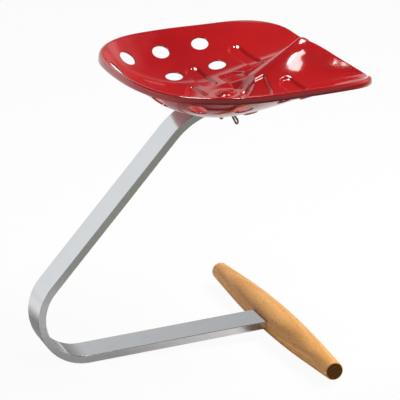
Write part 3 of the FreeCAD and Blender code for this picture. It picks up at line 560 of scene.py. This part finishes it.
class PanShape:
    """Height of the pan's upper face over the plan, in millimetres."""

    def __init__(self, pan):
        self.deep = pan.press_deep / MM
        self.edge = pan.press_edge / MM
        far_side = np.array(RIM, float)
        near_side = far_side[-2:0:-1] * (1, -1, 1)
        self.rim = closed_spline(np.concatenate([far_side, near_side]) + SADDLE, RIM_STEPS)
        bearing = np.arctan2(self.rim[:, 1], self.rim[:, 0] - HUB[0])
        order = np.argsort(bearing)
        self.bearing = bearing[order]
        self.by_bearing = self.rim[order]

    def rim_at(self, bearing):
        """How far out the rim's crest is on a bearing from the hub, and its lift off the dish."""
        crest = [np.interp(bearing, self.bearing, numbers, period=2 * math.pi)
                 for numbers in self.by_bearing.T]
        reach = np.hypot(crest[0] - HUB[0], crest[1])
        return reach, crest[2] - self.dish(crest[0], crest[1])

    @staticmethod
    def dish(x, y):
        """A flat floor, the sides, back and front that curve up from it, and the ridge."""
        ahead = x - SADDLE[0]
        side = SIDE_SLOPE * ramp(beyond(np.abs(y) - FLOOR_HALF), SIDE_TURN)
        back = BACK_SLOPE * ramp(beyond(-ahead - BACK_START), BACK_TURN)
        front = FRONT_SLOPE * ramp(beyond(ahead + FRONT_START), FRONT_TURN)
        ridge = RIDGE_SLOPE * ramp(ahead, RIDGE_RAMP) / np.cosh(y / RIDGE_HALF_WIDE) ** 2
        return SADDLE[2] - FLOOR_LOW + side + back + front + ridge

    def pressing(self, x, y):
        """How far a place is pressed down, from 0 to 1."""
        aside = np.abs(y)
        near = np.full(np.shape(x), FAR_AWAY)
        for line, half in SLOTS:
            near = np.minimum(near, slot_distance(x, aside, line, half))
        for corners in PATCHES:
            near = np.minimum(near, patch_distance(x, aside, corners) - PATCH_ROUND)
        return smooth(0.5 - near / self.edge)

    def open_height(self, x, y):
        """Height without ring and recesses."""
        away = np.hypot(x - HUB[0], y)
        reach, lift = self.rim_at(np.arctan2(y, x - HUB[0]))
        share = smooth((away - HUB_FLAT) / HUB_BLEND)
        flat = HUB[2] + (x - HUB[0]) * math.tan(TOP_LEAN)
        height = flat * (1 - share) + self.dish(x, y) * share
        return height + lift * np.maximum(0.0, 1 - (reach - away) / WALL_RUN) ** 2

    def height(self, x, y):
        """Height with the ring raised and the recesses pressed in."""
        away = np.hypot(x - HUB[0], y)
        off = np.minimum(1.0, np.abs(away - RING_MIDDLE) / (RING_WIDE / 2))
        ring = RING_HIGH * np.cos(off * math.pi / 2) ** 2
        return self.open_height(x, y) + ring - self.deep * self.pressing(x, y)

    def normal(self, x, y):
        across = (self.height(x + PROBE, y) - self.height(x - PROBE, y)) / (2 * PROBE)
        aside = (self.height(x, y + PROBE) - self.height(x, y - PROBE)) / (2 * PROBE)
        way = np.stack([-across, -aside, np.ones_like(across)], -1)
        return way / np.linalg.norm(way, axis=-1, keepdims=True)

    def on_face(self, x, y):
        return np.stack([x, y, self.height(x, y)], -1)


class Cells:
    """Points and four-sided faces of one mesh while it is put together."""

    def __init__(self):
        self.points = []
        self.faces = []
        self.count = 0

    def add(self, points):
        """Adds points and gives their numbers, in the same layout."""
        flat = points.reshape(-1, 3)
        numbers = np.arange(self.count, self.count + len(flat)).reshape(points.shape[:-1])
        self.points.append(flat)
        self.count += len(flat)
        return numbers

    def strip(self, inner, outer):
        """Faces between two closed rows of numbers, facing up where outer is further out."""
        around = [inner, outer, np.roll(outer, -1), np.roll(inner, -1)]
        self.faces.append(np.stack(around, -1))

    def make(self, name):
        mesh = bpy.data.meshes.new(name)
        points = np.concatenate(self.points) * MM
        faces = np.concatenate(self.faces)
        mesh.from_pydata(points.tolist(), [], faces.tolist())
        mesh.polygons.foreach_set("use_smooth", [True] * len(mesh.polygons))
        mesh.update()
        piece = bpy.data.objects.new(name, mesh)
        bpy.context.scene.collection.objects.link(piece)
        return piece


class PanMesh:
    """The pressed pan as one closed mesh, in rows about the hub."""

    COARSER = 2.2
    # The finest rows near the hub, in millimetres and as a share of the other cells
    HUB_CELL = 1.25
    HUB_CELL_SHARE = 0.6
    # Rings of cells round each hole, and how far past its edge the cells give way to them
    HOLE_RINGS = 4
    HOLE_MARGIN = 0.9
    # Rows over the rim's bend, on its outside and its inside
    OUTER_ROWS = 20
    INNER_ROWS = 10

    def __init__(self, pan, coarse):
        self.shape = PanShape(pan)
        self.sheet = pan.sheet / MM
        self.hole = pan.hole / MM / 2
        self.edge = pan.hole_edge / MM
        self.cell = pan.cell / MM * (self.COARSER if coarse else 1.0)
        self.cells = Cells()
        self.columns()
        self.rows()

    def columns(self):
        """Points at even steps round the rim, from the pommel by the far side."""
        rim = self.shape.rim
        closed = np.concatenate([rim, rim[:1]])
        steps = np.linalg.norm(np.diff(closed, axis=0), axis=1)
        along = np.concatenate([[0.0], np.cumsum(steps)])
        half = int(round(along[-1] / self.cell / 2))
        places = np.linspace(0.0, along[-1], 2 * half, endpoint=False)
        crest = np.stack([np.interp(places, along, closed[:, axis]) for axis in range(2)], -1)
        run = crest - HUB[:2]
        self.reach = np.linalg.norm(run, axis=1)
        self.out = run / self.reach[:, None]

    def rows(self):
        """How far out the rows lie on each column, from the hub's bore to the start of the rim."""
        step = min(self.HUB_CELL, self.cell * self.HUB_CELL_SHARE)
        near = np.arange(HUB_BORE, HUB_FLAT + HUB_BLEND, step)
        last = self.reach - RIM_BEND
        count = int((self.reach.max() - near[-1]) / self.cell)
        share = np.arange(1, count + 1) / count
        outer = near[-1] + (last[:, None] - near[-1]) * share
        away = np.concatenate([np.repeat(near[None], len(self.reach), 0), outer], 1)
        self.x = HUB[0] + self.out[:, :1] * away
        self.y = self.out[:, 1:] * away

    def hole_places(self):
        """Bearing and distance from the hub of every hole."""
        places = []
        for side in (1, -1):
            for degrees, inset in OUTER_HOLES:
                bearing = math.radians(degrees)
                places.append((side * bearing, float(self.shape.rim_at(bearing)[0]) - inset))
            for degrees in INNER_HOLES:
                places.append((side * math.radians(degrees), INNER_ROW))
        return places

    def hole_axis(self, bearing, away):
        """Middle of a hole, its axis and the two directions square to that."""
        ahead = math.cos(bearing)
        across = math.sin(bearing)

        def height(out):
            return float(self.shape.open_height(HUB[0] + ahead * out, across * out))

        lean = math.atan2(height(away + PROBE) - height(away - PROBE), 2 * PROBE)
        middle = np.array([HUB[0] + ahead * away, across * away, height(away)])
        outward = np.array([ahead * math.cos(lean), across * math.cos(lean), math.sin(lean)])
        aside = np.array([-across, ahead, 0.0])
        return middle, np.cross(outward, aside), outward, aside

    def window(self, middle, outward, aside):
        """Columns and rows of the smallest block of cells round a hole."""
        offset = np.stack([self.x, self.y], -1) - middle[:2]
        along = offset @ outward[:2] / math.hypot(*outward[:2]) ** 2
        across = offset @ aside[:2]
        inside = np.hypot(along, across) < self.hole + self.edge + self.HOLE_MARGIN
        columns = np.nonzero(inside.any(1))[0]
        gaps = np.nonzero(np.diff(columns) > 1)[0]
        if len(gaps):
            columns = np.roll(columns, -gaps[0] - 1)
        rows = np.nonzero(inside.any(0))[0]
        count = len(self.reach)
        across_span = (columns[-1] - columns[0]) % count + 2
        ring = (np.arange(across_span + 1) + columns[0] - 1) % count
        return ring, np.arange(rows[0] - 1, rows[-1] + 2)

    def ring_round(self, axis, angles, radius, depth=0.0):
        """Points about a hole's axis at a radius, slid along it onto the face, then down."""
        middle, up, outward, aside = axis
        ways = np.cos(angles)[:, None] * outward + np.sin(angles)[:, None] * aside
        spot = middle + radius * ways
        for _ in range(4):
            miss = self.shape.height(spot[:, 0], spot[:, 1]) - spot[:, 2]
            spot = spot + (miss * up[2])[:, None] * up
        return spot - depth * up

    def build(self):
        """The finished piece: both faces, the holes, the rim and the wall of the middle bore."""
        shape = self.shape
        cells = self.cells
        upper = shape.on_face(self.x, self.y)
        under = upper - self.sheet * shape.normal(self.x, self.y)
        top = cells.add(upper)
        low = cells.add(under)
        kept = np.ones((top.shape[0], top.shape[1] - 1), bool)
        cut_rows = []
        for bearing, away in self.hole_places():
            axis = self.hole_axis(bearing, away)
            ring, rows = self.window(axis[0], axis[2], axis[3])
            block = np.ix_(ring[:-1], rows[:-1])
            if not kept[block].all():
                raise RuntimeError("two holes of the pan share cells")
            kept[block] = False
            cut_rows.append(self.hole_cells(axis, ring, rows, top, low))
        ahead = np.roll(top, -1, axis=0)
        faces = np.stack([top[:, :-1], top[:, 1:], ahead[:, 1:], ahead[:, :-1]], -1)[kept]
        cells.faces.append(faces)
        offset = low[0, 0] - top[0, 0]
        cells.faces.append(faces[:, ::-1] + offset)
        numbers = [top[:, -1]] + [cells.add(row) for row in self.rim_rows()] + [low[:, -1]]
        for inner, outer in zip(numbers, numbers[1:]):
            cells.strip(inner, outer)
        cells.strip(low[:, 0], top[:, 0])
        piece = cells.make("pressed_pan")
        # Marks the holes' cut walls, where shade is painted into the enamel.
        dark = np.zeros(cells.count)
        for rows in cut_rows:
            dark[rows] = 1.0
        layer = piece.data.attributes.new("cut_edge", "FLOAT", "POINT")
        layer.data.foreach_set("value", dark.astype(np.float32))
        return piece

    def hole_cells(self, axis, ring, rows, top, low):
        """Rings of cells from a block's outline to the hole, on both faces, and the cut wall."""
        cells = self.cells
        outline = [(ring[0], row) for row in rows[:-1]]
        outline += [(column, rows[-1]) for column in ring[:-1]]
        outline += [(ring[-1], row) for row in rows[:0:-1]]
        outline += [(column, rows[0]) for column in ring[:0:-1]]
        columns = np.array([place[0] for place in outline])
        ranks = np.array([place[1] for place in outline])
        x = self.x[columns, ranks]
        y = self.y[columns, ranks]
        middle, up, outward, aside = axis
        offset = np.stack([x - middle[0], y - middle[1]], -1)
        along = offset @ outward[:2] / math.hypot(*outward[:2]) ** 2
        angles = np.arctan2(offset @ aside[:2], along)
        edge = self.ring_round(axis, angles, self.hole + self.edge)
        upper = []
        for step in range(self.HOLE_RINGS):
            share = step / self.HOLE_RINGS
            plan_x = edge[:, 0] * (1 - share) + x * share
            plan_y = edge[:, 1] * (1 - share) + y * share
            upper.append(self.shape.on_face(plan_x, plan_y))
        under = [row - self.sheet * self.shape.normal(row[:, 0], row[:, 1]) for row in upper]
        under[0] = edge - self.sheet * up
        # Each corner of the wall is rounded in two steps
        soft = self.edge * 0.3
        profile = [(soft, soft), (0.0, self.edge),
                   (0.0, self.sheet - self.edge), (soft, self.sheet - soft)]
        wall = [self.ring_round(axis, angles, self.hole + grow, deep) for grow, deep in profile]
        top_rows = [cells.add(row) for row in upper] + [top[columns, ranks]]
        low_rows = [cells.add(row) for row in under] + [low[columns, ranks]]
        wall_rows = [cells.add(row) for row in wall]
        chain = low_rows[::-1] + wall_rows[::-1] + top_rows
        for inner, outer in zip(chain, chain[1:]):
            cells.strip(inner, outer)
        return np.concatenate(wall_rows)

    def rim_rows(self):
        """The rolled edge and its lip, out over the crest, round the hem and back on the inside."""
        last = self.reach - RIM_BEND
        x = HUB[0] + self.out[:, 0] * last
        y = self.out[:, 1] * last
        rise = self.shape.height(x + self.out[:, 0] * PROBE, y + self.out[:, 1] * PROBE)
        fall = self.shape.height(x - self.out[:, 0] * PROBE, y - self.out[:, 1] * PROBE)
        start = np.arctan2(rise - fall, 2 * PROBE)
        end = -math.radians(90 - LIP_LEAN)
        centre_out = last + RIM_BEND * np.sin(start)
        centre_up = self.shape.height(x, y) - RIM_BEND * np.cos(start)
        half = self.sheet / 2

        def arc(depth, shares):
            rows = []
            for share in shares:
                lean = start + (end - start) * share
                rows.append((centre_out - (RIM_BEND - depth) * np.sin(lean),
                             centre_up + (RIM_BEND - depth) * np.cos(lean)))
            return rows

        def along_lip(depth, drops):
            out, up = arc(depth, [1.0])[0]
            return [(out + drop * math.cos(end), up + drop * math.sin(end)) for drop in drops]

        drops = (2.0, 4.0, LIP_STRAIGHT - half)
        section = arc(0.0, np.linspace(0.05, 1.0, self.OUTER_ROWS)) + along_lip(0.0, drops)
        middle_out, middle_up = along_lip(half, drops[-1:])[0]
        for turn in np.radians((60, 20, -20, -60)):
            section.append((middle_out + half * np.cos(end - turn),
                            middle_up + half * np.sin(end - turn)))
        section += along_lip(self.sheet, drops[::-1])
        section += arc(self.sheet, np.linspace(1.0, 0.1, self.INNER_ROWS))
        return [np.stack([HUB[0] + self.out[:, 0] * out, self.out[:, 1] * out, up], -1)
                for out, up in section]


# Finishes of the frame's nodes, and the operators

def dress(node, material):
    """Gives a node of the frame its finish."""
    slots = frame["nodes"][node].data.materials
    slots.clear()
    slots.append(material)


class STOOL_OT_seat_pan(bpy.types.Operator):
    """Press the pan, with its holes, recesses, ring and rolled rim"""
    bl_idname = "stool.seat_pan"
    bl_label = "Seat pan"

    def execute(self, context):
        piece = PanMesh(context.scene.stool_pan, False).build()
        piece.data.materials.append(enamel(context.scene.stool_colours))
        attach(piece, "seat")
        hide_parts("seat_pan")
        return {"FINISHED"}


class STOOL_OT_seat_bolt(bpy.types.Operator):
    """Paint the bolt's head with the pan and thread its shank"""
    bl_idname = "stool.seat_bolt"
    bl_label = "Seat bolt"

    def execute(self, context):
        dress("seat_bolt", bolt_finish(context.scene.stool_colours))
        return {"FINISHED"}


class STOOL_OT_stem(bpy.types.Operator):
    """Plate the flat bar"""
    bl_idname = "stool.stem"
    bl_label = "Stem"

    def execute(self, context):
        dress("stem_bar", chrome(context.scene.stool_colours))
        return {"FINISHED"}


class STOOL_OT_crossbar(bpy.types.Operator):
    """Give the crossbar its beech grain"""
    bl_idname = "stool.crossbar"
    bl_label = "Crossbar"

    def execute(self, context):
        low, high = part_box("crossbar")
        dress("crossbar", beech(context.scene.stool_colours, (low + high) / 2))
        return {"FINISHED"}


class STOOL_OT_wing_nut(bpy.types.Operator):
    """Bronze the wing nut and its wire loops"""
    bl_idname = "stool.wing_nut"
    bl_label = "Wing nut"

    def execute(self, context):
        colours = context.scene.stool_colours
        dress("wing_nut", bronze(colours, "Bronzed hub"))
        dress("wing_wires", bronze(colours, "Bronzed wire"))
        return {"FINISHED"}


class STOOL_OT_small_parts(bpy.types.Operator):
    """Finish the washers, the screws and the rubber pad"""
    bl_idname = "stool.small_parts"
    bl_label = "Washers, screws and pad"

    def execute(self, context):
        colours = context.scene.stool_colours
        names = {"plain_washer": "Plain washer steel", "spring_washer": "Spring washer steel",
                 "crossbar_screws": "Screw steel", "crossbar_screw_washers": "Screw washer steel"}
        for node, name in names.items():
            dress(node, plated_steel(colours, name))
        dress("seat_pad", rubber(colours))
        return {"FINISHED"}


# Lamps by the word of their power: place, spot that each faces, sides, whether glossy finishes
# show it, and spread in degrees
LAMPS = {
    "near": ((0.297, -0.027, 0.652), (0.352, -0.03, 0.46), (0.04, 0.056), True, 180.0),
    "spark": ((0.25, -0.39, 1.67), (0.25, 0.0, 0.43), (0.14, 0.14), True, 180.0),
    "main": ((1.6, -0.2, 2.2), (0.25, 0.0, 0.2), (1.2, 1.2), False, 180.0),
    "left": ((-0.50, -0.14, 0.46), (0.07, -0.05, 0.46), (0.2, 0.2), False, 60.0),
    "edge": ((-0.28, -0.03, 1.55), (0.11, -0.18, 0.467), (0.5, 0.5), True, 180.0),
}
FLOOR_REACH = 14.0
# Floor colours; the front one is painted shade that darkens the floor towards the front.
FLOOR_BACK = (0.88, 0.87, 0.85, 1.0)
FLOOR_FRONT_SHADE = (0.34, 0.33, 0.29, 1.0)
# Ways from the stool to the brightest wall, to the window, to the front and to the back
TO_BRIGHT_WALL = (-0.47, 0.83, 0.30)
TO_WINDOW = (0.81, 0.31, 0.50)
TO_FRONT = (0.0, -1.0, 0.0)
TO_BACK = (0.0, 1.0, 0.0)


class STOOL_OT_studio(bpy.types.Operator):
    """Set up the camera, the pale floor, the room and the lamps"""
    bl_idname = "stool.studio"
    bl_label = "Studio"

    def execute(self, context):
        studio = context.scene.stool_studio
        self.camera(context, studio)
        self.floor(context)
        self.room(context, studio)
        lamps = {word: self.lamp(context, word + "_lamp", getattr(studio, word), *row)
                 for word, row in LAMPS.items()}
        lamps["edge"].visible_diffuse = False
        context.scene.view_settings.view_transform = "Standard"
        return {"FINISHED"}

    @staticmethod
    def camera(context, studio):
        turn, tilt = studio.turn, studio.tilt
        ahead = Vector((math.sin(turn) * math.cos(tilt), math.cos(turn) * math.cos(tilt),
                        -math.sin(tilt)))
        right = Vector((math.cos(turn), -math.sin(turn), 0.0))
        level = Matrix((right, right.cross(ahead), -ahead)).transposed()
        rolled = (level @ Matrix.Rotation(studio.roll, 3, "Z")).to_4x4()
        data = bpy.data.cameras.new("camera")
        data.sensor_width = 36.0
        data.lens = studio.lens
        data.clip_end = 100.0
        view = bpy.data.objects.new("camera", data)
        place = Vector(studio.target) - ahead * studio.distance
        view.matrix_world = Matrix.Translation(place) @ rolled
        context.scene.collection.objects.link(view)
        context.scene.camera = view

    @staticmethod
    def floor(context):
        """A pale floor with painted shade that darkens it towards the front, and that the camera
        sees as white.
        """
        mesh = bpy.data.meshes.new("studio_floor")
        far = FLOOR_REACH
        corners = [(-far, -far, 0.0), (far, -far, 0.0), (far, far, 0.0), (-far, far, 0.0)]
        mesh.from_pydata(corners, [], [(0, 1, 2, 3)])
        floor = bpy.data.objects.new("studio_floor", mesh)
        context.scene.collection.objects.link(floor)
        finish = new_finish("Pale floor")
        x, y, _ = finish.parts(finish.here())
        # Painted shade: the floor's colour darkens towards the front.
        colour = finish.blend(finish.between(y, -0.12, -0.5), FLOOR_BACK, FLOOR_FRONT_SHADE)
        matt = finish.node("BsdfDiffuse", None, {"Color": colour})
        glow = finish.node("Emission", None, {"Color": WHITE, "Strength": 1.0})
        behind = finish.between(y - x, 0.25, 0.7)
        share = finish.ray("Is Camera Ray") * 0.95 + finish.ray("Is Glossy Ray") * behind * 0.8
        shown = finish.node("MixShader", None, {0: share, 1: matt, 2: glow})
        mesh.materials.append(finish.close(shown))

    @staticmethod
    def room(context, studio):
        """Pale walls, brightest behind on the left, a window high on the right and a dim ceiling.

        Glossy finishes also see a glow on the side and front walls. The camera sees white."""
        world = bpy.data.worlds.new("Pale room")
        context.scene.world = world
        finish = Finish(world, "ShaderNodeOutputWorld")
        way = finish.node("TexCoord", out="Generated")
        wall = 1.0 - finish.between(finish.parts(way)[2], 0.40, 0.52)
        left = finish.between(finish.facing(way, TO_BRIGHT_WALL), 0.45, 0.95)
        back = 1.0 - finish.between(finish.facing(way, TO_FRONT), -0.3, 0.3, 0.0, 0.6)
        window = finish.between(finish.facing(way, TO_WINDOW), 0.88, 0.98)
        level = studio.room * (0.08 + window * 0.3 + wall * back * (0.15 + left * 0.70))
        around = wall * finish.between(finish.facing(way, TO_BACK), 0.75, 0.25, 0.0, 0.5)
        seen = finish.ray("Is Camera Ray")
        strength = seen + (1.0 - seen) * (level + finish.ray("Is Glossy Ray") * around)
        finish.close(finish.node("Background", None, {"Color": WHITE, "Strength": strength}))

    @staticmethod
    def lamp(context, name, power, place, aim, sides, mirrored, spread):
        """A flat lamp, which the glossy finishes show or not."""
        light = bpy.data.lights.new(name, "AREA")
        light.shape = "RECTANGLE"
        light.size, light.size_y = sides
        light.energy = power
        light.spread = math.radians(spread)
        box = bpy.data.objects.new(name, light)
        spot = Vector(place)
        turn = (spot - Vector(aim)).to_track_quat("Z", "Y").to_matrix().to_4x4()
        box.matrix_world = Matrix.Translation(spot) @ turn
        box.visible_glossy = mirrored
        context.scene.collection.objects.link(box)
        return box


class STOOL_PT_panel(bpy.types.Panel):
    """Builds and dresses the stool"""
    bl_label = "Tractor seat stool"
    bl_space_type = "VIEW_3D"
    bl_region_type = "UI"
    bl_category = "Stool"

    def draw(self, context):
        for word in GROUPS:
            group = getattr(context.scene, word)
            column = self.layout.column()
            for prop in group.__annotations__:
                column.prop(group, prop)
        for operator in OPERATORS:
            self.layout.operator(operator.bl_idname)


OPERATORS = (STOOL_OT_seat_pan, STOOL_OT_seat_bolt, STOOL_OT_stem, STOOL_OT_crossbar,
             STOOL_OT_wing_nut, STOOL_OT_small_parts, STOOL_OT_studio)
GROUPS = {"stool_pan": StoolPan, "stool_colours": StoolColours, "stool_studio": StoolStudio}


def register():
    for kind in (*GROUPS.values(), *OPERATORS, STOOL_PT_panel):
        bpy.utils.register_class(kind)
    for word, kind in GROUPS.items():
        setattr(bpy.types.Scene, word, bpy.props.PointerProperty(type=kind))


def unregister():
    for word in GROUPS:
        delattr(bpy.types.Scene, word)
    for kind in (STOOL_PT_panel, *reversed(OPERATORS), *reversed(GROUPS.values())):
        bpy.utils.unregister_class(kind)


def main():
    register()
    bpy.ops.stool.seat_pan()
    bpy.ops.stool.seat_bolt()
    bpy.ops.stool.stem()
    bpy.ops.stool.crossbar()
    bpy.ops.stool.wing_nut()
    bpy.ops.stool.small_parts()
    bpy.ops.stool.studio()
    bpy.context.view_layer.update()


if __name__ == "__main__":
    main()
